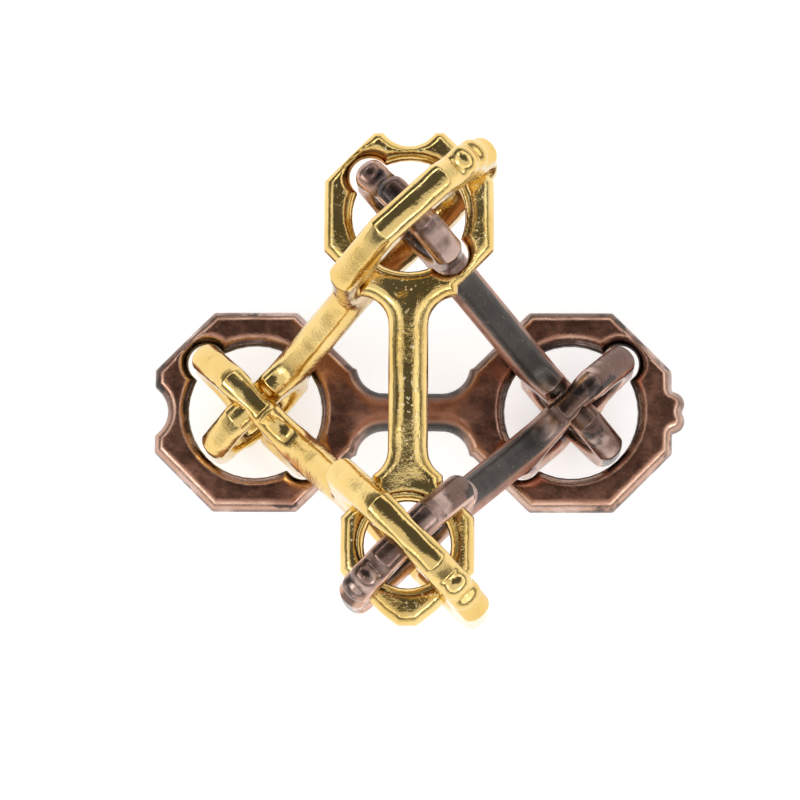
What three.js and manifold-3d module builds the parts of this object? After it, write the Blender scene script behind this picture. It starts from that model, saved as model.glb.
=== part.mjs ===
// Ring disentanglement puzzle: six castings, each a straight bar with an octagonal ring at both
// ends, hooked together so that they are the six edges of a tetrahedron. A tetrahedron's edges
// are the face diagonals of a cube, so each casting lies flat in one face of that cube, and at
// each of the four corners in use three rings of three sizes nest square to each other.
// Millimetres, +Z up. The origin is on the surface that the puzzle stands on, below the middle
// of its bounding box.

import * as THREE from 'three';
import { mergeVertices } from 'three/addons/utils/BufferGeometryUtils.js';
import Module from 'manifold-3d';

// Driving dimensions
const CENTRE_DISTANCE = 49.8; // between the two ring centres of every casting
const PLATE_THICKNESS = 4.8;
const PLATE_CHAMFER = 1.2;
const BAR_WIDTH = 6.0;
const BAR_THICKNESS = 5.6;
const BAR_CHAMFER = 1.6;
const FILLET_RADIUS = 4.4; // hollow curve from the bar out to a shoulder
const SLOT_RADIUS = 3.0; // round end of a slot, half the slot's width
const LOBE_RADIUS = 2.0; // the two lobes of a bump
const LOBE_SPACING = 2.7;
const NOSE_HALF_WIDTH = 1.4; // flat end of the pointed nose that only small rings have
const NOSE_REACH = 12.2; // ring centre to the end of the nose

// apothem: ring centre to a flat of its octagon. slotReach: ring centre to the end of a slot.
// shoulder: where the bar's flared end stops, along the bar and to each side of it.
const RINGS = {
  large: {
    apothem: 15.9,
    hole: 10.5,
    slotReach: 13.9,
    shoulder: { along: 16.0, half: 7.0 },
    scoop: { radius: 4.5, depth: 2.05 },
  },
  medium: {
    apothem: 12.85,
    hole: 8.5,
    slotReach: 11.4,
    shoulder: { along: 12.2, half: 7.4 },
    scoop: { radius: 4.6, depth: 2.1 },
  },
  small: {
    apothem: 10.05,
    hole: 6.5,
    slotReach: 0,
    shoulder: { along: 10.5, half: 5.3 },
    scoop: { radius: 3.4, depth: 1.3 },
  },
};

// The four corners of the cube that are in use, and which ring size stands square to which axis.
const CORNERS = {
  top: { signs: [1, 1, 1], normals: { large: 'y', medium: 'z', small: 'x' } },
  bottom: { signs: [-1, -1, 1], normals: { large: 'x', medium: 'y', small: 'z' } },
  left: { signs: [-1, 1, -1], normals: { large: 'z', medium: 'x', small: 'y' } },
  right: { signs: [1, -1, -1], normals: { large: 'z', medium: 'y', small: 'x' } },
};

const GOLD = { color: 0xc9a23f, metalness: 1.0, roughness: 0.22 };
const BRONZE = { color: 0x5b3a30, metalness: 0.9, roughness: 0.34 };

// Each casting runs from one corner to another. settle is how it has come to rest in the play
// between the rings: a turn in degrees and a shift in millimetres, in the casting's own axes
// (along the bar, across the bar, out of the plate).
const CASTINGS = [
  {
    name: 'bronze_large_large',
    finish: BRONZE,
    ends: [
      { corner: 'left', size: 'large', tip: 'scoop' },
      { corner: 'right', size: 'large', tip: 'bump' },
    ],
    settle: { turn: [0, 0, 0], shift: [0, 0, 0] },
  },
  {
    name: 'bronze_medium_medium',
    finish: BRONZE,
    ends: [
      { corner: 'right', size: 'medium', tip: 'scoop' },
      { corner: 'bottom', size: 'medium', tip: 'bump' },
    ],
    settle: { turn: [0, 0, 0], shift: [0, 0, 0] },
  },
  {
    name: 'bronze_small_small',
    finish: BRONZE,
    ends: [
      { corner: 'top', size: 'small', tip: 'scoop' },
      { corner: 'right', size: 'small', tip: 'nose' },
    ],
    settle: { turn: [0, 0, 0], shift: [0, 0, 0] },
  },
  {
    name: 'gold_large_medium',
    finish: GOLD,
    ends: [
      { corner: 'bottom', size: 'large', tip: 'bump' },
      { corner: 'left', size: 'medium', tip: 'scoop' },
    ],
    settle: { turn: [0, 0, 0], shift: [0, 0, -0.2] },
  },
  {
    name: 'gold_large_small',
    finish: GOLD,
    ends: [
      { corner: 'top', size: 'large', tip: 'bump' },
      { corner: 'left', size: 'small', tip: 'scoop' },
    ],
    settle: { turn: [2, -1.3, 0], shift: [0, 0, -0.6] },
  },
  {
    name: 'gold_medium_small',
    finish: GOLD,
    ends: [
      { corner: 'top', size: 'medium', tip: 'scoop' },
      { corner: 'bottom', size: 'small', tip: 'nose' },
    ],
    settle: { turn: [0, 0, 0], shift: [0, 0, 0] },
  },
];

const AXES = {
  x: new THREE.Vector3(1, 0, 0),
  y: new THREE.Vector3(0, 1, 0),
  z: new THREE.Vector3(0, 0, 1),
};
const OCTAGON_HALF_SIDE = Math.tan(Math.PI / 8);
const FILLET_STEPS = 5;
const HOLE_SEGMENTS = 40;
const SMALL_ROUND_SEGMENTS = 20;
const CUT_MARGIN = 1.0; // how far a cutter stands out of the plate
const MERGE_DISTANCE = 1e-5;

const wasm = await Module();
wasm.setup();

function toSolid(geometry) {
  geometry.deleteAttribute('normal');
  geometry.deleteAttribute('uv');
  const merged = mergeVertices(geometry, MERGE_DISTANCE);
  const vertProperties = new Float32Array(merged.attributes.position.array);
  const triVerts = new Uint32Array(merged.index.array);
  return new wasm.Manifold(new wasm.Mesh({ numProp: 3, vertProperties, triVerts }));
}

function toGeometry(solid) {
  const mesh = solid.getMesh();
  const geometry = new THREE.BufferGeometry();
  geometry.setAttribute('position', new THREE.BufferAttribute(mesh.vertProperties, 3));
  geometry.setIndex(new THREE.BufferAttribute(mesh.triVerts, 1));
  geometry.computeVertexNormals();
  return geometry;
}

// A solid of revolution about Z from (radius, height) pairs that start and end on the axis.
function turned(profile, segments) {
  const points = profile.map(([radius, height]) => new THREE.Vector2(radius, height));
  return new THREE.LatheGeometry(points, segments).rotateX(Math.PI / 2);
}

// A round cutter that leaves a chamfered rim on both faces of the plate.
function flaredCutter(radius, x, y, segments) {
  const half = PLATE_THICKNESS / 2;
  const out = half + CUT_MARGIN;
  const wide = radius + PLATE_CHAMFER + CUT_MARGIN;
  const waist = half - PLATE_CHAMFER;
  const profile = [[0, -out], [wide, -out], [radius, -waist], [radius, waist], [wide, out], [0, out]];
  return toSolid(turned(profile, segments).translate(x, y, 0));
}

// A round chamfered boss as thick as the plate.
function lobe(x, y) {
  const half = PLATE_THICKNESS / 2;
  const face = LOBE_RADIUS - PLATE_CHAMFER;
  const waist = half - PLATE_CHAMFER;
  const upper = [[LOBE_RADIUS, waist], [face, half], [0, half]];
  const lower = upper.map(([radius, height]) => [radius, -height]).reverse();
  const profile = [...lower, ...upper];
  return toSolid(turned(profile, SMALL_ROUND_SEGMENTS).translate(x, y, 0));
}

// Upper half of one end's outline, from the tip to where its fillet meets the bar. The ring's
// centre is at the origin and the bar leaves along +X.
function halfOutline(ring, tip) {
  const { apothem, shoulder } = ring;
  const side = apothem * OCTAGON_HALF_SIDE;
  const kink = apothem * Math.SQRT2 - shoulder.half;
  const points = [];
  if (tip === 'nose') {
    points.push([-NOSE_REACH, NOSE_HALF_WIDTH]);
  }
  points.push([-apothem, side], [-side, apothem], [side, apothem]);
  if (kink < shoulder.along) {
    points.push([kink, shoulder.half]);
  }
  points.push(...filletPoints(shoulder));
  return points;
}

// The hollow curve from the tip of a shoulder down to the bar.
function filletPoints({ along, half }) {
  const drop = half - BAR_WIDTH / 2;
  const sweep = Math.acos(1 - drop / FILLET_RADIUS);
  const centreX = along + FILLET_RADIUS * Math.sin(sweep);
  const centreY = BAR_WIDTH / 2 + FILLET_RADIUS;
  const points = [];
  for (let step = 0; step <= FILLET_STEPS; step += 1) {
    const angle = sweep * (1 - step / FILLET_STEPS);
    points.push([centreX - FILLET_RADIUS * Math.sin(angle), centreY - FILLET_RADIUS * Math.cos(angle)]);
  }
  return points;
}

// The whole outline in the casting's own axes, the bar along X and centred on the origin.
function castingOutline(ends) {
  const reach = CENTRE_DISTANCE / 2;
  const first = halfOutline(RINGS[ends[0].size], ends[0].tip).map(([x, y]) => [x - reach, y]);
  const second = halfOutline(RINGS[ends[1].size], ends[1].tip).map(([x, y]) => [reach - x, y]);
  const upper = [...first, ...second.reverse()];
  const lower = upper.map(([x, y]) => [x, -y]).reverse();
  return new THREE.Shape([...upper, ...lower].map(([x, y]) => new THREE.Vector2(x, y)));
}

function chamferedPlate(shape) {
  const depth = PLATE_THICKNESS - 2 * PLATE_CHAMFER;
  const geometry = new THREE.ExtrudeGeometry(shape, {
    depth,
    bevelThickness: PLATE_CHAMFER,
    bevelSize: PLATE_CHAMFER,
    bevelOffset: -PLATE_CHAMFER,
    bevelSegments: 1,
  });
  return toSolid(geometry.translate(0, 0, -depth / 2));
}

// The bar itself is thicker than the plate and has eight sides.
function chamferedBar(ends) {
  const start = RINGS[ends[0].size].shoulder.along - CENTRE_DISTANCE / 2;
  const stop = CENTRE_DISTANCE / 2 - RINGS[ends[1].size].shoulder.along;
  const y = BAR_WIDTH / 2;
  const z = BAR_THICKNESS / 2;
  const corners = [[y, z - BAR_CHAMFER], [y - BAR_CHAMFER, z], [BAR_CHAMFER - y, z], [-y, z - BAR_CHAMFER]];
  const section = [...corners, ...corners.map(([a, b]) => [-a, -b])];
  const shape = new THREE.Shape(section.map(([a, b]) => new THREE.Vector2(a, b)));
  const geometry = new THREE.ExtrudeGeometry(shape, { depth: stop - start, bevelEnabled: false });
  geometry.rotateX(Math.PI / 2).rotateZ(Math.PI / 2);
  return toSolid(geometry.translate(start, 0, 0));
}

// The hole of one ring with its two slots. slotAngle is measured from +X of the casting.
function holeCutters(ring, centreX, slotAngle) {
  const cutters = [flaredCutter(ring.hole, centreX, 0, HOLE_SEGMENTS)];
  if (ring.slotReach > 0) {
    const offset = ring.slotReach - SLOT_RADIUS;
    for (const side of [-1, 1]) {
      const x = centreX + side * offset * Math.cos(slotAngle);
      const y = side * offset * Math.sin(slotAngle);
      cutters.push(flaredCutter(SLOT_RADIUS, x, y, SMALL_ROUND_SEGMENTS));
    }
  }
  return cutters;
}

// The casting's own axes in the cube: along the bar, across it, and out of its cube face.
function castingAxes(ends) {
  const [a, b] = ends.map((end) => new THREE.Vector3(...CORNERS[end.corner].signs));
  const along = b.clone().sub(a).normalize();
  const out = a.clone().add(b).normalize();
  const across = out.clone().cross(along);
  return { along, across, out, middle: a.add(b).divideScalar(2) };
}

// The slots of a ring let the next smaller ring through, so they follow the line where that
// ring's plate crosses this one.
function slotAngle({ corner, size }, { along, across }) {
  const { normals } = CORNERS[corner];
  const smaller = size === 'large' ? normals.medium : normals.small;
  const line = AXES[normals[size]].clone().cross(AXES[smaller]);
  return Math.atan2(line.dot(across), line.dot(along));
}

function castingSolid(ends, axes) {
  let body = chamferedPlate(castingOutline(ends)).add(chamferedBar(ends));
  ends.forEach((end, index) => {
    const ring = RINGS[end.size];
    const outward = index === 0 ? -1 : 1;
    const centreX = (outward * CENTRE_DISTANCE) / 2;
    for (const cutter of holeCutters(ring, centreX, slotAngle(end, axes))) {
      body = body.subtract(cutter);
    }
    if (end.tip === 'scoop') {
      const x = centreX + outward * (ring.apothem - ring.scoop.depth + ring.scoop.radius);
      body = body.subtract(flaredCutter(ring.scoop.radius, x, 0, SMALL_ROUND_SEGMENTS));
    }
    if (end.tip === 'bump') {
      const x = centreX + outward * ring.apothem;
      body = body.add(lobe(x, LOBE_SPACING / 2)).add(lobe(x, -LOBE_SPACING / 2));
    }
  });
  return body;
}

function buildCasting({ name, finish, ends, settle }) {
  const axes = castingAxes(ends);
  const geometry = toGeometry(castingSolid(ends, axes));
  const mesh = new THREE.Mesh(geometry, new THREE.MeshStandardMaterial(finish));
  mesh.name = name;
  const turn = settle.turn.map((degrees) => THREE.MathUtils.degToRad(degrees));
  const basis = new THREE.Matrix4().makeBasis(axes.along, axes.across, axes.out);
  mesh.quaternion.setFromRotationMatrix(basis);
  mesh.quaternion.multiply(new THREE.Quaternion().setFromEuler(new THREE.Euler(...turn)));
  const halfCube = CENTRE_DISTANCE / Math.SQRT2 / 2;
  mesh.position.copy(axes.middle).multiplyScalar(halfCube);
  mesh.position.add(new THREE.Vector3(...settle.shift).applyMatrix4(basis));
  return mesh;
}

// Stands the puzzle on Z = 0 with the middle of its bounding box over the origin.
function standOnOrigin(group) {
  const box = new THREE.Box3().setFromObject(group, true);
  const middle = box.getCenter(new THREE.Vector3());
  group.position.set(-middle.x, -middle.y, -box.min.z);
  group.updateMatrixWorld(true);
  return group;
}

const puzzle = new THREE.Group();
CASTINGS.forEach((casting) => puzzle.add(buildCasting(casting)));

export default standOnOrigin(puzzle);
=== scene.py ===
import math

import bmesh
import bpy
import numpy as np
from mathutils import Matrix, Vector
from mathutils.geometry import delaunay_2d_cdt


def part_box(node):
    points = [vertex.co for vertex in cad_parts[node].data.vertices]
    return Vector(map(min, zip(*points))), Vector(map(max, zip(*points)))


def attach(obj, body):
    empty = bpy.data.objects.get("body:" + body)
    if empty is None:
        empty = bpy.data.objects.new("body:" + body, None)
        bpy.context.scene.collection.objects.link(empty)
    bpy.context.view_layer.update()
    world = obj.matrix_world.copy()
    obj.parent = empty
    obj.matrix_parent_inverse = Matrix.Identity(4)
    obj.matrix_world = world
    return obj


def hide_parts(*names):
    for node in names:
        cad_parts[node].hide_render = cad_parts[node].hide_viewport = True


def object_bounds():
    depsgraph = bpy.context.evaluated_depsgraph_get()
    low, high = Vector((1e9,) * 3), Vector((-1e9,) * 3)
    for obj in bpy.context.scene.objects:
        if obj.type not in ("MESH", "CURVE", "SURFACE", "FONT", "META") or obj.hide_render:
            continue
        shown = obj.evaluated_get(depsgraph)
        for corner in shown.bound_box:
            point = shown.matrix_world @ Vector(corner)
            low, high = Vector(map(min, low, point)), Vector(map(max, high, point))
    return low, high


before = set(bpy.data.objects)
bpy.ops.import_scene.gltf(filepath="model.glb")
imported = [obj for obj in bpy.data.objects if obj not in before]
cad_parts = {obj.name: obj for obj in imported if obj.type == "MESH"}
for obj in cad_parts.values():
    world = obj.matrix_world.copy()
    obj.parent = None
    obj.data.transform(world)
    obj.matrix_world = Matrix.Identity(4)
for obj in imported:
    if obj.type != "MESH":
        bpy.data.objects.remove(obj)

CAD_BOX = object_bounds()
MM = 0.001

# ---- Sizes of the castings, in millimetres -------------------------------------------------
CENTRE_DISTANCE = 49.8
REACH = CENTRE_DISTANCE / 2
HALF_CUBE = CENTRE_DISTANCE / math.sqrt(2) / 2
BAR_HALF_WIDTH = 3.0
FILLET_RADIUS = 4.4
SLOT_RADIUS = 3.0
LOBE_RADIUS = 2.0
LOBE_OFFSET = 1.35
NOSE_HALF_WIDTH = 1.4  # flat end of the pointed nose that only small rings have
NOSE_REACH = 12.2  # ring centre to the end of the nose
RING_CAP = 2.4  # mid-plane to the ring's flat
BAR_CAP = 2.8  # mid-plane to the bar's flat
CAP_BLEND = 3.6  # length over which the bar thins into the ring
CAP_LEAD = 0.35  # share of that length that lies out on the ring
WAIST = 1.2  # mid-plane to where the chamfer starts
SOFTNESS = 0.5  # how far the edge between chamfer and flat is rounded
BAR_SOFTNESS = 1.3  # the same along the bar
CROWN_RADIUS = 2.4  # rounding from the outer wall into the chamfer
CROWN_START = WAIST - CROWN_RADIUS * (math.sqrt(2) - 1)  # height where it begins
CORNER_SOFTNESS = 0.26  # rounding of the outline's corners

# apothem: ring centre to a flat of its octagon. slot: ring centre to the end of a slot.
# along, half: where the bar's flared end stops, along the bar and to each side of it.
# scoop: its radius and depth.
RINGS = {
    "large": {"apothem": 15.9, "hole": 10.5, "slot": 13.9, "along": 16.0, "half": 7.0,
              "scoop": (4.5, 2.05)},
    "medium": {"apothem": 12.85, "hole": 8.5, "slot": 11.4, "along": 12.2, "half": 7.4,
               "scoop": (4.6, 2.1)},
    "small": {"apothem": 10.05, "hole": 6.5, "slot": 0.0, "along": 10.5, "half": 5.3,
              "scoop": (3.4, 1.3)},
}
# Where each corner of the tetrahedron is in the cube, and the axis square to each ring
CORNERS = {
    "top": ((1, 1, 1), {"large": 1, "medium": 2, "small": 0}),
    "bottom": ((-1, -1, 1), {"large": 0, "medium": 1, "small": 2}),
    "left": ((-1, 1, -1), {"large": 2, "medium": 0, "small": 1}),
    "right": ((1, -1, -1), {"large": 2, "medium": 1, "small": 0}),
}
# name: slot, (corner, ring, tip) at each end, settled turn in degrees, settled shift in mm
CASTINGS = {
    "bronze_large_large": ("bronze", ("left", "large", "scoop"), ("right", "large", "bump"),
                           (0, 0, 0), (0, 0, 0)),
    "bronze_medium_medium": ("bronze", ("right", "medium", "scoop"), ("bottom", "medium", "bump"),
                             (0, 0, 0), (0, 0, 0)),
    "bronze_small_small": ("bronze", ("top", "small", "scoop"), ("right", "small", "nose"),
                           (0, 0, 0), (0, 0, 0)),
    "gold_large_medium": ("gold", ("bottom", "large", "bump"), ("left", "medium", "scoop"),
                          (0, 0, 0), (0, 0, -0.2)),
    "gold_large_small": ("gold", ("top", "large", "bump"), ("left", "small", "scoop"),
                         (2, -1.3, 0), (0, 0, -0.6)),
    "gold_medium_small": ("gold", ("top", "medium", "scoop"), ("bottom", "small", "nose"),
                          (0, 0, 0), (0, 0, 0)),
}
# ---- How finely the castings are made, in millimetres --------------------------------------
SAMPLE = 0.1  # spacing of the dense outline
BLUR_REACH = 12  # samples to each side that soften a corner
TIP_STEPS = 24
FILLET_STEPS = 16
HOLE_STEPS = 720
CONTOURS = (0.2, 0.45, 0.8, 1.15, 1.55, 2.05, 2.6)  # distances in from the edge, on the faces
CONTOUR_SLACK = 0.02
LONGEST_JUMP = 0.9  # a wider gap between samples splits a contour
FEWEST_SAMPLES = 4  # a shorter piece of a contour is left out
WALL_STEPS = (0.8, 0.6, 0.35, 0.0)  # share of the height of the first contour
WALL_BEND = 1.5
TURN_STEP = math.radians(9)
LONGEST_STEP = 2.6
MERGE_DISTANCE = 1e-5
BLOCK = 400  # points measured against the edge at a time

# ---- Where the finishes change, in millimetres ---------------------------------------------
BORE_REACH = 0.8  # how far the dark of a hole's wall reaches onto the faces
BAR_FADE = 4.0  # length over which the bar's finish gives way to the ring's
BAR_LEAD = 0.4  # share of that length that lies out on the ring
LIT_SIDE_WIDTH = 9.0  # across the casting, over which a painted highlight makes the ring's walls lighter towards one side
LIT_SIDE_START = 0.4
NOISE_STEP = np.array((137.0, 61.0, 0.0))  # moves the grain on from casting to casting


# ---- Outlines ------------------------------------------------------------------------------
def arc(cx, cy, radius, start, stop, steps=TIP_STEPS):
    angles = np.linspace(start, stop, steps + 1)
    return [(cx + radius * math.cos(a), cy + radius * math.sin(a)) for a in angles]


def tip_points(ring, tip):
    """The upper half of a ring's far end, from the centre line to the octagon's corner."""
    apothem = ring["apothem"]
    if tip == "scoop":
        radius, depth = ring["scoop"]
        cx = depth - apothem - radius
        return arc(cx, 0, radius, 0, math.acos((radius - depth) / radius))
    if tip == "bump":
        start = math.pi + math.asin(LOBE_OFFSET / LOBE_RADIUS)
        return arc(-apothem, LOBE_OFFSET, LOBE_RADIUS, start, math.pi / 2)
    return [(-NOSE_REACH, 0), (-NOSE_REACH, NOSE_HALF_WIDTH)]


def end_outline(size, tip):
    """Upper half of one end, from the tip to the bar; the bar leaves along +X."""
    ring = RINGS[size]
    apothem = ring["apothem"]
    side = apothem * math.tan(math.pi / 8)
    points = tip_points(ring, tip)
    points += [(-apothem, side), (-side, apothem), (side, apothem)]
    kink = apothem * math.sqrt(2) - ring["half"]
    if kink < ring["along"]:
        points.append((kink, ring["half"]))
    sweep = math.acos(1 - (ring["half"] - BAR_HALF_WIDTH) / FILLET_RADIUS)
    cx = ring["along"] + FILLET_RADIUS * math.sin(sweep)
    cy = BAR_HALF_WIDTH + FILLET_RADIUS
    points += arc(cx, cy, FILLET_RADIUS, -math.pi / 2 - sweep, -math.pi / 2, FILLET_STEPS)
    return points


def outer_loop(first, second):
    upper = [(x - REACH, y) for x, y in end_outline(*first)]
    upper += [(REACH - x, y) for x, y in reversed(end_outline(*second))]
    lower = [(x, -y) for x, y in reversed(upper)]
    return np.array(upper + lower)


def hole_loop(size, centre_x, slots_at):
    """The round hole with its two slots; slots_at is the direction of one of them."""
    ring = RINGS[size]
    angles = np.linspace(0, 2 * math.pi, HOLE_STEPS, endpoint=False)
    radii = np.full(len(angles), ring["hole"])
    if ring["slot"]:
        offset = ring["slot"] - SLOT_RADIUS
        bend = np.mod(angles - slots_at + math.pi / 2, math.pi) - math.pi / 2
        room = SLOT_RADIUS ** 2 - (offset * np.sin(bend)) ** 2
        reach = offset * np.cos(bend) + np.sqrt(np.maximum(room, 0))
        radii = np.where(room > 0, np.maximum(radii, reach), radii)
    return np.c_[centre_x + radii * np.cos(angles), radii * np.sin(angles)]


def resampled(loop):
    """The closed loop at an even spacing, its corners softened."""
    closed = np.vstack([loop, loop[:1]])
    run = np.r_[0, np.cumsum(np.linalg.norm(np.diff(closed, axis=0), axis=1))]
    count = int(run[-1] / SAMPLE)
    at = np.linspace(0, run[-1], count, endpoint=False)
    even = np.c_[np.interp(at, run, closed[:, 0]), np.interp(at, run, closed[:, 1])]
    offsets = np.arange(-BLUR_REACH, BLUR_REACH + 1)
    weights = np.exp(-0.5 * (offsets * SAMPLE / CORNER_SOFTNESS) ** 2)
    weights /= weights.sum()
    return sum(w * np.roll(even, k, axis=0) for w, k in zip(weights, offsets))


def outward(loop):
    """Unit normals that point out of the metal: it lies to the right of the loop's travel."""
    along = np.roll(loop, -1, axis=0) - np.roll(loop, 1, axis=0)
    along /= np.linalg.norm(along, axis=1)[:, None]
    return np.c_[-along[:, 1], along[:, 0]]


def thinned(points):
    """Indices of the points to keep along a run: close together where it bends."""
    keep = [0]
    turn = 0.0
    length = 0.0
    for i in range(1, len(points) - 1):
        a = points[i] - points[i - 1]
        b = points[i + 1] - points[i]
        cross = a[0] * b[1] - a[1] * b[0]
        turn += abs(math.atan2(cross, a @ b))
        length += math.hypot(*a)
        if turn > TURN_STEP or length > LONGEST_STEP:
            keep.append(i)
            turn = 0.0
            length = 0.0
    return keep


def distances(points, edge):
    """Distance from each point to the nearest sample of the edge."""
    best = np.full(len(points), np.inf)
    for start in range(0, len(points), BLOCK):
        block = points[start:start + BLOCK]
        gap = block[:, None, :] - edge[None, :, :]
        best[start:start + BLOCK] = np.sqrt((gap ** 2).sum(2).min(1))
    return best


def closed_run(loop):
    """The points to keep of a closed loop."""
    return loop[thinned(np.vstack([loop, loop[:1]]))]


def contour(loop, normals, inset, edge):
    """The loop moved in by inset, as runs of points that are really that far from the edge."""
    moved = loop - normals * inset
    good = distances(moved, edge) > inset - CONTOUR_SLACK
    if good.all():
        return [(closed_run(moved), True)]
    first_bad = int(np.argmin(good))
    moved = np.roll(moved, -first_bad, axis=0)[np.roll(good, -first_bad)]
    jumps = np.linalg.norm(np.roll(moved, -1, axis=0) - moved, axis=1) > LONGEST_JUMP
    if not jumps.any():
        return [(closed_run(moved), True)]
    moved = np.roll(moved, -(int(np.argmax(jumps)) + 1), axis=0)
    steps = np.linalg.norm(np.diff(moved, axis=0), axis=1)
    pieces = np.split(moved, np.nonzero(steps > LONGEST_JUMP)[0] + 1)
    long_enough = [piece for piece in pieces if len(piece) >= FEWEST_SAMPLES]
    return [(piece[thinned(piece) + [len(piece) - 1]], False) for piece in long_enough]


def inside(points, loops):
    """True for each point with an odd number of the loops around it: the metal, not the holes."""
    odd = np.zeros(len(points), bool)
    for loop in loops:
        for a, b in zip(loop, np.roll(loop, -1, axis=0)):
            if a[1] == b[1]:
                continue
            spans = (points[:, 1] >= min(a[1], b[1])) & (points[:, 1] < max(a[1], b[1]))
            x = a[0] + (points[:, 1] - a[1]) * (b[0] - a[0]) / (b[1] - a[1])
            odd ^= spans & (points[:, 0] < x)
    return odd


# ---- One casting ---------------------------------------------------------------------------
def into_bar(x, first, second):
    """Distance from the nearer end of the bar, negative out on a ring."""
    low = RINGS[first[0]]["along"] - REACH
    high = REACH - RINGS[second[0]]["along"]
    return np.minimum(x - low, high - x)


def bar_share(x, first, second):
    """1 along the bar, 0 out on the rings."""
    return np.clip(into_bar(x, first, second) / BAR_FADE + BAR_LEAD, 0, 1)


def cap_height(x, first, second):
    """Half thickness: the bar is thicker than the rings and thins into them."""
    t = np.clip(into_bar(x, first, second) / CAP_BLEND + CAP_LEAD, 0, 1)
    return RING_CAP + (BAR_CAP - RING_CAP) * t * t * (3 - 2 * t)


def crown(inset):
    """Height of the side of the section at that distance in: an arc, then the chamfer."""
    rise = np.sqrt(np.maximum(CROWN_RADIUS ** 2 - (CROWN_RADIUS - inset) ** 2, 0))
    bent = inset < CROWN_RADIUS * (1 - math.sqrt(0.5))
    return np.where(bent, CROWN_START + rise, WAIST + inset)


def face_height(inset, cap, softness):
    """Height of the surface at that distance in: the side and the flat, softly joined."""
    slope = crown(inset)
    blend = np.maximum(softness - np.abs(slope - cap), 0) / softness
    return np.minimum(slope, cap) - blend * blend * softness / 4


def wall_levels():
    """Distance in and height of each ring of points between the two faces, the top one first."""
    top = float(crown(np.array(CONTOURS[0])))
    half = [(CONTOURS[0] * step ** WALL_BEND, top * step) for step in WALL_STEPS]
    return half + [(depth, -z) for depth, z in half[-2::-1]]


def add_run(points, links, run, closed):
    base = len(points)
    points.extend(run)
    links += [(base + i, base + i + 1) for i in range(len(run) - 1)]
    if closed:
        links.append((base + len(run) - 1, base))


def face_points(loops, edge):
    """Points and links that one face is triangulated from, and the rim of each loop."""
    points = []
    links = []
    rims = []
    for loop in loops:
        normals = outward(loop)
        keep = thinned(np.vstack([loop, loop[:1]]))
        rims.append((len(points), loop[keep], normals[keep]))
        add_run(points, links, loop[keep] - normals[keep] * CONTOURS[0], True)
        for inset in CONTOURS[1:]:
            for run, closed in contour(loop, normals, inset, edge):
                add_run(points, links, run, closed)
    return points, links, rims


def face_sheet(points, links, rims):
    """Plan of one face, its triangles, and each rim as indices into the plan."""
    flat = [Vector((float(x), float(y))) for x, y in points]
    out, _, triangles, origin, _, _ = delaunay_2d_cdt(flat, links, [], 0, MERGE_DISTANCE)
    where = {old: new for new, olds in enumerate(origin) for old in olds}
    plan = np.array([(v.x, v.y) for v in out])
    rim_points = [[where[base + i] for i in range(len(pts))] for base, pts, _ in rims]
    tri = np.array(triangles)
    tri = tri[inside(plan[tri].mean(1), [plan[rim] for rim in rim_points])]
    used = np.unique(tri)
    renumber = -np.ones(len(plan), int)
    renumber[used] = np.arange(len(used))
    return plan[used], renumber[tri], [renumber[rim].tolist() for rim in rim_points]


def wall(pts, normals, upper, lower, start):
    """One wall between the rims of the two faces: points, their distance in, and faces."""
    n = len(pts)
    levels = wall_levels()
    verts = [np.c_[pts - normals * depth, np.full(n, z)] for depth, z in levels]
    insets = [np.full(n, depth) for depth, _ in levels]
    rings = [list(range(start + k * n, start + (k + 1) * n)) for k in range(len(levels))]
    rings = [upper] + rings + [lower]
    faces = []
    for above, below in zip(rings, rings[1:]):
        for i in range(n):
            j = (i + 1) % n
            faces.append((above[i], above[j], below[j], below[i]))
    return np.vstack(verts), np.concatenate(insets), faces


def casting_mesh(first, second, slot_angles):
    """One casting in its own axes: vertices, faces, distance in from the edge, hole wall or not."""
    loops = [resampled(outer_loop(first, second))]
    for (size, _), centre_x, angle in zip((first, second), (-REACH, REACH), slot_angles):
        loops.append(resampled(hole_loop(size, centre_x, angle)))
    edge = np.vstack(loops)
    points, links, rims = face_points(loops, edge)
    plan, tri, rim_points = face_sheet(points, links, rims)
    inset = distances(plan, edge)
    softness = SOFTNESS + (BAR_SOFTNESS - SOFTNESS) * bar_share(plan[:, 0], first, second)
    height = face_height(inset, cap_height(plan[:, 0], first, second), softness)
    near_hole = np.clip(1 - distances(plan, np.vstack(loops[1:])) / BORE_REACH, 0, 1)
    count = len(plan)
    verts = [np.c_[plan, height], np.c_[plan, -height]]
    insets = [inset, inset]
    bores = [near_hole, near_hole]
    faces = [tuple(t) for t in tri] + [tuple(t[::-1] + count) for t in tri]
    total = 2 * count
    for number, ((_, pts, normals), upper) in enumerate(zip(rims, rim_points)):
        lower = [i + count for i in upper]
        wall_verts, wall_insets, wall_faces = wall(pts, normals, upper, lower, total)
        verts.append(wall_verts)
        insets.append(wall_insets)
        bores.append(np.full(len(wall_verts), float(number > 0)))
        faces += wall_faces
        total += len(wall_verts)
    return np.vstack(verts), faces, np.concatenate(insets), np.concatenate(bores)


def casting_axes(first, second):
    """Along the bar, across it, out of the plate, and the bar's middle in half cubes."""
    a = Vector(CORNERS[first[0]][0])
    b = Vector(CORNERS[second[0]][0])
    along = (b - a).normalized()
    out = (a + b).normalized()
    return along, out.cross(along), out, (a + b) / 2


def slot_angle(corner, size, along, across):
    """Direction of a ring's slots: they lie where the next smaller ring's plate crosses it."""
    normals = CORNERS[corner][1]
    if size == "small":
        return 0.0
    smaller = "medium" if size == "large" else "small"
    line = Vector([float(i == normals[size]) for i in range(3)])
    line = line.cross(Vector([float(i == normals[smaller]) for i in range(3)]))
    return math.atan2(line.dot(across), line.dot(along))


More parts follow.
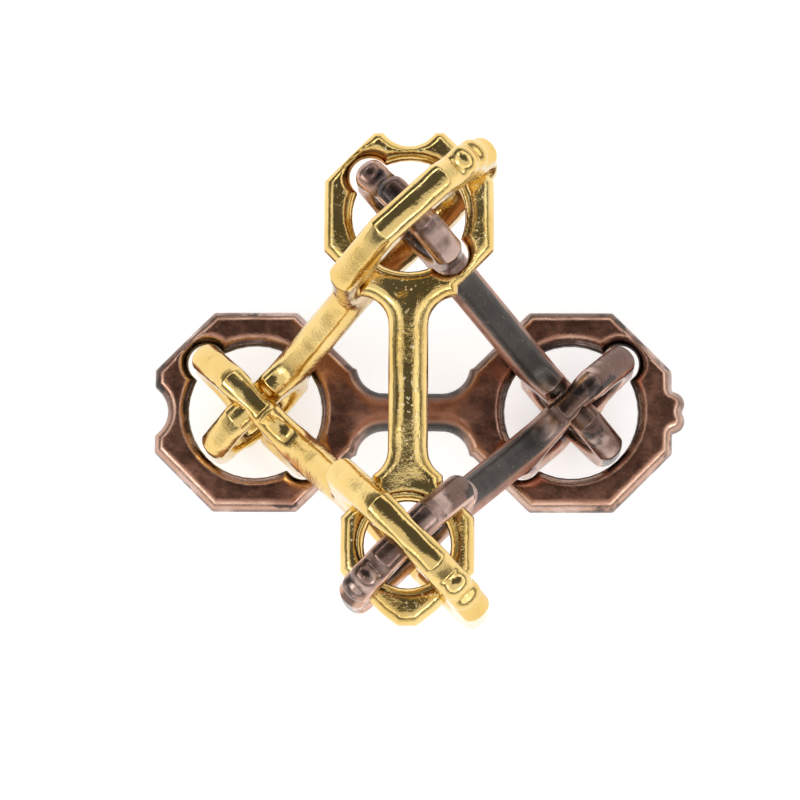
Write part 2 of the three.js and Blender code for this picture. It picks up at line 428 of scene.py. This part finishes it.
def cube_centre():
    """Where the middle of the cube is: the large pair lies flat in its lowest face."""
    low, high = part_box("bronze_large_large")
    return (low + high) / 2 + Vector((0, 0, HALF_CUBE * MM))


def casting_place(name, centre):
    """Turn and place of a casting as it has settled, from its own axes to the frame."""
    _, first, second, turn, shift = CASTINGS[name]
    along, across, out, middle = casting_axes(first, second)
    basis = Matrix((along, across, out)).transposed()
    rotation = basis.copy()
    for degrees, axis in zip(turn, "XYZ"):
        rotation = rotation @ Matrix.Rotation(math.radians(degrees), 3, axis)
    return rotation, centre + (middle * HALF_CUBE + basis @ Vector(shift)) * MM


def build_casting(name, centre, index):
    """One casting as a smooth mesh in place, with what its finish needs to know."""
    slot, first, second, _, _ = CASTINGS[name]
    along, across, _, _ = casting_axes(first, second)
    angles = [slot_angle(end[0], end[1], along, across) for end in (first, second)]
    verts, faces, inset, bore = casting_mesh(first[1:], second[1:], angles)
    rotation, place = casting_place(name, centre)
    world = verts * MM @ np.array(rotation).T + np.array(place)
    mesh = bpy.data.meshes.new(name + "_cast")
    mesh.from_pydata(world.tolist(), [], faces)
    mesh.validate()
    mesh.polygons.foreach_set("use_smooth", [True] * len(mesh.polygons))
    mesh.update()
    fix_winding(mesh)
    share = bar_share(verts[:, 0], first[1:], second[1:])
    # painted highlight: each ring is painted lighter towards one side, across the casting
    lit_side = np.clip(verts[:, 1] / LIT_SIDE_WIDTH + LIT_SIDE_START, 0, 1) * (1 - share)
    store(mesh, "inset", inset)
    store(mesh, "upright", uprightness(mesh, rotation))
    store(mesh, "bore", bore)
    store(mesh, "along", share)
    store(mesh, "lit_side", lit_side)
    store(mesh, "cast", verts + index * NOISE_STEP, "FLOAT_VECTOR", "vector")
    piece = bpy.data.objects.new(name + "_cast", mesh)
    bpy.context.scene.collection.objects.link(piece)
    return slot, piece


def uprightness(mesh, rotation):
    """1 where the surface faces straight out of the casting's plate, 0 on its walls."""
    normals = np.zeros(len(mesh.vertices) * 3)
    mesh.vertices.foreach_get("normal", normals)
    return np.abs(normals.reshape(-1, 3) @ np.array(rotation)[:, 2])


def fix_winding(mesh):
    cleaner = bmesh.new()
    cleaner.from_mesh(mesh)
    bmesh.ops.recalc_face_normals(cleaner, faces=cleaner.faces[:])
    cleaner.to_mesh(mesh)
    cleaner.free()


def store(mesh, name, values, kind="FLOAT", field="value"):
    layer = mesh.attributes.new(name, kind, "POINT")
    layer.data.foreach_set(field, np.asarray(values, np.float32).ravel())


# ---- Materials -----------------------------------------------------------------------------
GOLD_DEEP = (0.73, 0.495, 0.16)
GOLD_PALE = (0.81, 0.595, 0.24)
GOLD_FLECK = (0.95, 0.83, 0.56)
COPPER_DARK = (0.28, 0.125, 0.085)
COPPER_BRIGHT = (0.47, 0.22, 0.145)
COPPER_WORN = (0.72, 0.46, 0.34)
COPPER_FLECK = (0.62, 0.42, 0.33)
# painted highlight: the lighter copper on one side of each ring's chamfers and walls
COPPER_LIT_SIDE = (0.56, 0.34, 0.25)
PATINA_RING = (0.17, 0.105, 0.085)
PATINA_RUBBED = (0.72, 0.52, 0.45)
PATINA_STAIN = (0.045, 0.042, 0.042)
PATINA_BORE = (0.035, 0.028, 0.026)
PATINA_BAR = ((0.06, 0.054, 0.05), (0.10, 0.088, 0.08))
FLOOR_TONES = ((0.86, 0.86, 0.86), (0.9, 0.9, 0.89))
FLOOR_GLOW = 0.5
FLOOR_ROUGHNESS = 0.7

# Patches of noise: cycles per millimetre, octaves, then a smooth step from low to high that
# gives start below and stop above.
GOLD_TINT = {"scale": 0.13, "low": 0.3, "high": 0.7}
GOLD_FLECKS = {"scale": 1.5, "detail": 2.0, "low": 0.64, "high": 0.70}
GOLD_ROUGHNESS = {"scale": 0.5, "low": 0.3, "high": 0.75, "start": 0.06, "stop": 0.15}
GOLD_PEELED = {"scale": 0.1, "low": 0.4, "high": 0.62, "start": 0.35, "stop": 1.0}
COPPER_TINT = {"scale": 0.16, "detail": 4.0, "rough": 0.6, "low": 0.35, "high": 0.68}
COPPER_FLECKS = {"scale": 2.6, "detail": 2.0, "low": 0.66, "high": 0.74, "stop": 0.5}
COPPER_ROUGHNESS = {"scale": 0.6, "detail": 4.0, "low": 0.3, "high": 0.75,
                    "start": 0.2, "stop": 0.34}
WORN = {"scale": 0.2, "low": 0.3, "high": 0.6, "start": 0.2, "stop": 0.9}
SMOKED = {"scale": 0.12, "low": 0.3, "high": 0.7}
RUBBED = {"scale": 0.14, "low": 0.48, "high": 0.64, "stop": 0.6}
STAINED = {"scale": 0.19, "low": 0.36, "high": 0.44, "start": 0.85, "stop": 0.0}

# Smooth steps over what the mesh knows: from, to, value before, value after
FLECKED_FACE = (0.8, 0.99)  # over uprightness, like the next four
PEELED_FACE = (0.75, 0.99, 0.55, 1.0)
# where the painted highlight on one side of the rings shows, from the walls up onto the chamfers
LIT_SIDE_WALL = (0.2, 0.6)
BROWN_FACE = (0.72, 0.95)
WORN_FACE = (0.72, 0.85)
PATINA_BLEND = (0.1, 0.9)  # from ring to bar, like the next
WORN_BAR = (0.0, 1.0, 1.0, 0.3)
WORN_EDGE = (0.05, 0.6, 1.0, 0.0)  # over the distance from WORN_INSET, in millimetres
WORN_INSET = 1.15
FLECK_DULLNESS = 0.15  # roughness added by the gold's flecks
BAR_DULLNESS = 0.14  # roughness added on the bronze bars

# Relief: noise (cycles per millimetre, octaves, roughness) and height in metres
GOLD_WAVES = ((0.17, 1.0), 0.00045)
GOLD_PEEL = ((1.9, 3.0, 0.6), 0.0001)
GOLD_FLECK_HEIGHT = 0.00004
COPPER_WAVES = ((0.2, 1.0), 0.00022)
COPPER_GRAIN = ((1.6, 3.0, 0.6), 0.00003)
FLOOR_GRAIN = ((40.0, 4.0, 0.6), 0.00004)  # cycles per metre


class Finish:
    """A procedural material, built node by node."""

    def __init__(self, name):
        self.material = bpy.data.materials.new(name)
        self.material.use_nodes = True
        self.tree = self.material.node_tree
        self.shader = self.tree.nodes["Principled BSDF"]

    def node(self, kind, **inputs):
        made = self.tree.nodes.new("ShaderNode" + kind)
        for key, value in inputs.items():
            self.feed(made.inputs[key.replace("_", " ")], value)
        return made

    def feed(self, socket, value):
        if isinstance(value, bpy.types.NodeSocket):
            self.tree.links.new(value, socket)
        else:
            socket.default_value = value

    def attribute(self, name, output):
        made = self.tree.nodes.new("ShaderNodeAttribute")
        made.attribute_name = name
        return made.outputs[output]

    def noise(self, scale, detail, rough=0.55, vector=None):
        vector = vector or self.attribute("cast", "Vector")
        noise = self.node("TexNoise", Vector=vector, Scale=scale, Detail=detail, Roughness=rough)
        return noise.outputs["Fac"]

    def ramp(self, value, low, high, start=0.0, stop=1.0):
        """start below low, stop above high, and a smooth step between."""
        made = self.node("MapRange", Value=value, From_Min=low, From_Max=high)
        made.interpolation_type = "SMOOTHSTEP"
        made.inputs["To Min"].default_value = start
        made.inputs["To Max"].default_value = stop
        return made.outputs["Result"]

    def patches(self, scale, low, high, start=0.0, stop=1.0, detail=3.0, rough=0.55):
        return self.ramp(self.noise(scale, detail, rough), low, high, start, stop)

    def math(self, operation, a, b):
        made = self.tree.nodes.new("ShaderNodeMath")
        made.operation = operation
        self.feed(made.inputs[0], a)
        self.feed(made.inputs[1], b)
        return made.outputs[0]

    def mix(self, share, a, b):
        made = self.tree.nodes.new("ShaderNodeMix")
        made.data_type = "RGBA"
        self.feed(made.inputs["Factor"], share)
        self.feed(made.inputs["A"], a if isinstance(a, bpy.types.NodeSocket) else (*a, 1))
        self.feed(made.inputs["B"], b if isinstance(b, bpy.types.NodeSocket) else (*b, 1))
        return made.outputs["Result"]

    def bump(self, height, distance, normal=None):
        made = self.node("Bump", Height=height, Distance=distance, Strength=1.0)
        if normal is not None:
            self.feed(made.inputs["Normal"], normal)
        return made.outputs["Normal"]

    def relief(self, layer, under=None, share=None):
        """Bumps of noise over the relief under them; share makes them shallower."""
        noise, height = layer
        bumps = self.noise(*noise)
        if share is not None:
            bumps = self.math("MULTIPLY", bumps, share)
        return self.bump(bumps, height, under)


def gold_finish():
    """Bright plating over a cast surface: slow waves, orange peel and small raised flecks."""
    f = Finish("gold_plating")
    upright = f.attribute("upright", "Fac")
    flecks = f.math("MULTIPLY", f.patches(**GOLD_FLECKS), f.ramp(upright, *FLECKED_FACE))
    tint = f.mix(f.patches(**GOLD_TINT), GOLD_DEEP, GOLD_PALE)
    f.feed(f.shader.inputs["Base Color"], f.mix(flecks, tint, GOLD_FLECK))
    f.shader.inputs["Metallic"].default_value = 1.0
    dull = f.math("MULTIPLY", flecks, FLECK_DULLNESS)
    f.feed(f.shader.inputs["Roughness"], f.math("ADD", f.patches(**GOLD_ROUGHNESS), dull))
    waved = f.relief(GOLD_WAVES)
    share = f.math("MULTIPLY", f.ramp(upright, *PEELED_FACE), f.patches(**GOLD_PEELED))
    peeled = f.relief(GOLD_PEEL, waved, share)
    f.feed(f.shader.inputs["Normal"], f.bump(flecks, GOLD_FLECK_HEIGHT, peeled))
    return f.material


def patina(f, upright, bar):
    """The dark finish of walls and bars, rubbed light and stained in patches on the rings, with one
    side of each ring painted lighter as a highlight.
    """
    black = f.mix(f.patches(**SMOKED), *PATINA_BAR)
    colour = f.mix(f.ramp(bar, *PATINA_BLEND), PATINA_RING, black)
    # painted highlight: one side of each ring turns lighter copper
    lit_side = f.ramp(f.attribute("lit_side", "Fac"), 0.0, 1.0)
    lit_side = f.math("MULTIPLY", lit_side, f.ramp(upright, *LIT_SIDE_WALL))
    colour = f.mix(lit_side, colour, COPPER_LIT_SIDE)
    on_ring = f.math("SUBTRACT", 1.0, bar)
    rubbed = f.math("MULTIPLY", f.patches(**RUBBED), on_ring)
    colour = f.mix(rubbed, colour, PATINA_RUBBED)
    stained = f.math("MULTIPLY", f.patches(**STAINED), on_ring)
    colour = f.mix(stained, colour, PATINA_STAIN)
    return f.mix(f.attribute("bore", "Fac"), colour, PATINA_BORE)


def wear(f, upright, bar):
    """Share of bright copper along the edges of the faces."""
    off = f.math("SUBTRACT", f.attribute("inset", "Fac"), WORN_INSET)
    share = f.ramp(f.math("ABSOLUTE", off, 0.0), *WORN_EDGE)
    share = f.math("MULTIPLY", share, f.ramp(upright, *WORN_FACE))
    share = f.math("MULTIPLY", share, f.patches(**WORN))
    return f.math("MULTIPLY", share, f.ramp(bar, *WORN_BAR))


def bronze_finish():
    """Antique copper: brown faces, worn bright at their edges, and dark walls and bars."""
    f = Finish("antique_copper")
    upright = f.attribute("upright", "Fac")
    bar = f.attribute("along", "Fac")
    brown = f.mix(f.patches(**COPPER_TINT), COPPER_DARK, COPPER_BRIGHT)
    body = f.mix(f.ramp(upright, *BROWN_FACE), patina(f, upright, bar), brown)
    worn = f.mix(wear(f, upright, bar), body, COPPER_WORN)
    flecked = f.mix(f.patches(**COPPER_FLECKS), worn, COPPER_FLECK)
    f.feed(f.shader.inputs["Base Color"], flecked)
    f.shader.inputs["Metallic"].default_value = 1.0
    dull = f.math("MULTIPLY", bar, BAR_DULLNESS)
    f.feed(f.shader.inputs["Roughness"], f.math("ADD", f.patches(**COPPER_ROUGHNESS), dull))
    waved = f.relief(COPPER_WAVES)
    f.feed(f.shader.inputs["Normal"], f.relief(COPPER_GRAIN, waved))
    return f.material


def floor_finish():
    f = Finish("pale_floor")
    where = f.tree.nodes.new("ShaderNodeTexCoord").outputs["Object"]
    noise, height = FLOOR_GRAIN
    grain = f.noise(*noise, vector=where)
    f.feed(f.shader.inputs["Base Color"], f.mix(grain, *FLOOR_TONES))
    f.shader.inputs["Roughness"].default_value = FLOOR_ROUGHNESS
    f.shader.inputs["Emission Color"].default_value = (1, 1, 1, 1)
    f.shader.inputs["Emission Strength"].default_value = FLOOR_GLOW
    f.feed(f.shader.inputs["Normal"], f.bump(grain, height))
    return f.material


# ---- The object ----------------------------------------------------------------------------
def build_puzzle():
    finishes = {"gold": gold_finish(), "bronze": bronze_finish()}
    centre = cube_centre()
    for index, name in enumerate(CASTINGS):
        slot, piece = build_casting(name, centre, index)
        piece.data.materials.append(finishes[slot])
        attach(piece, name)
        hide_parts(name)


# ---- Camera, floor and light ---------------------------------------------------------------
# The picture's axes: to its right, up the picture, and towards the camera
HALF_ROOT = math.sqrt(0.5)
TO_RIGHT = Vector((HALF_ROOT, -HALF_ROOT, 0))
UPWARD = Vector((HALF_ROOT, HALF_ROOT, 0))
PICTURE = Matrix((TO_RIGHT, UPWARD, (0, 0, 1)))
PICTURE_TURN = -45  # degrees from the frame's X to the picture's right
AIM = Vector((-1.217, -3.050, 17.607))  # in the picture's axes, millimetres from the cube's middle
LEAN = (-8.140, -1.402, -0.315)  # degrees about right, up and the line of sight
CAMERA_DISTANCE = 666.9
LENS = 200.2
SENSOR = 36.0
CLIP = (0.01, 20)
FLOOR_CELLS = 8
FLOOR_SIZE = 4.0
SKY = ((0.0, 0.8), (0.18, 0.8), (0.31, 0.15), (0.41, 0.18), (0.52, 1.35), (0.68, 1.3),
       (0.8, 0.85), (1.0, 0.85))  # height of the direction, brightness
# Each edge of the dark card overhead: direction, full inside, gone outside
CARD = ((TO_RIGHT, 0.36, 0.5), (-TO_RIGHT, 0.36, 0.5), (UPWARD, 0.55, 0.7), (-UPWARD, -0.02, 0.1))
CARD_LEVEL = 0.11
# The sky's strength falls with the Y part of the direction
SIDE_LIMITS = (0.5, 0.9)
SIDE_LEVELS = (1.1, 0.3)
# Soft boxes: name, azimuth from the picture's right, elevation, width, height, watts
PANELS = (
    ("key", 200, 42, 0.22, 0.1, 0.35),
    ("low_right", -50, 38, 0.24, 0.07, 0.25),
    ("high_left", 125, 45, 0.24, 0.07, 0.2),
)
PANEL_DISTANCE = 0.7
PANEL_AIM = Vector((0, 0, 0.03))


def add_camera(centre):
    lean = Matrix.Rotation(math.radians(LEAN[2]), 3, "Z")
    lean = lean @ Matrix.Rotation(math.radians(LEAN[0]), 3, "X")
    lean = lean @ Matrix.Rotation(math.radians(LEAN[1]), 3, "Y")
    axes = (lean @ PICTURE).transposed()
    aim = centre + PICTURE.transposed() @ AIM * MM
    data = bpy.data.cameras.new("camera")
    data.lens = LENS
    data.sensor_width = SENSOR
    data.clip_start, data.clip_end = CLIP
    camera = bpy.data.objects.new("camera", data)
    place = aim + axes.col[2] * CAMERA_DISTANCE * MM
    camera.matrix_world = Matrix.Translation(place) @ axes.to_4x4()
    bpy.context.scene.collection.objects.link(camera)
    bpy.context.scene.camera = camera


def add_floor():
    mesh = bpy.data.meshes.new("floor")
    builder = bmesh.new()
    bmesh.ops.create_grid(builder, x_segments=FLOOR_CELLS, y_segments=FLOOR_CELLS, size=FLOOR_SIZE)
    builder.to_mesh(mesh)
    builder.free()
    floor = bpy.data.objects.new("floor", mesh)
    floor.location.z = CAD_BOX[0][2]
    mesh.materials.append(floor_finish())
    bpy.context.scene.collection.objects.link(floor)


def add_panel(name, azimuth, elevation, width, height, power):
    """A soft box that faces the object."""
    data = bpy.data.lights.new(name, "AREA")
    data.shape = "RECTANGLE"
    data.size = width
    data.size_y = height
    data.energy = power
    turn = math.radians(azimuth + PICTURE_TURN)
    rise = math.radians(elevation)
    way = Vector((math.cos(turn) * math.cos(rise), math.sin(turn) * math.cos(rise), math.sin(rise)))
    panel = bpy.data.objects.new(name, data)
    panel.location = way * PANEL_DISTANCE + PANEL_AIM
    panel.rotation_euler = (-way).to_track_quat("-Z", "Y").to_euler()
    bpy.context.scene.collection.objects.link(panel)


def multiply(tree, first, second):
    made = tree.nodes.new("ShaderNodeMath")
    made.operation = "MULTIPLY"
    tree.links.new(first, made.inputs[0])
    tree.links.new(second, made.inputs[1])
    return made.outputs[0]


def smooth_range(tree, value, limits, levels):
    made = tree.nodes.new("ShaderNodeMapRange")
    made.interpolation_type = "SMOOTHSTEP"
    made.inputs["From Min"].default_value, made.inputs["From Max"].default_value = limits
    made.inputs["To Min"].default_value, made.inputs["To Max"].default_value = levels
    tree.links.new(value, made.inputs["Value"])
    return made.outputs["Result"]


def sky_bands(tree, height):
    ramp = tree.nodes.new("ShaderNodeValToRGB")
    tree.links.new(height, ramp.inputs[0])
    while len(ramp.color_ramp.elements) < len(SKY):
        ramp.color_ramp.elements.new(0.5)
    for element, (place, level) in zip(ramp.color_ramp.elements, SKY):
        element.position = place
        element.color = (level, level, level, 1)
    return ramp.outputs["Color"]


def overhead_card(tree, where):
    """1 away from the dark card over the object, CARD_LEVEL under it."""
    shares = []
    for axis, near, far in CARD:
        along = tree.nodes.new("ShaderNodeVectorMath")
        along.operation = "DOT_PRODUCT"
        along.inputs[1].default_value = axis
        tree.links.new(where, along.inputs[0])
        shares.append(smooth_range(tree, along.outputs["Value"], (far, near), (0.0, 1.0)))
    total = shares[0]
    for share in shares[1:]:
        total = multiply(tree, total, share)
    return smooth_range(tree, total, (0.0, 1.0), (1.0, CARD_LEVEL))


def add_world():
    """A pale sky with darker bands, dimmer on the far side and under the card."""
    world = bpy.data.worlds.new("studio")
    bpy.context.scene.world = world
    world.use_nodes = True
    tree = world.node_tree
    where = tree.nodes.new("ShaderNodeTexCoord").outputs["Generated"]
    split = tree.nodes.new("ShaderNodeSeparateXYZ")
    tree.links.new(where, split.inputs[0])
    side = smooth_range(tree, split.outputs["Y"], SIDE_LIMITS, SIDE_LEVELS)
    background = tree.nodes["Background"]
    strength = multiply(tree, side, overhead_card(tree, where))
    tree.links.new(strength, background.inputs["Strength"])
    tree.links.new(sky_bands(tree, split.outputs["Z"]), background.inputs["Color"])


def add_light():
    add_world()
    for panel in PANELS:
        add_panel(*panel)


build_puzzle()
add_camera(cube_centre())
add_floor()
add_light()
bpy.context.scene.view_settings.view_transform = "Standard"
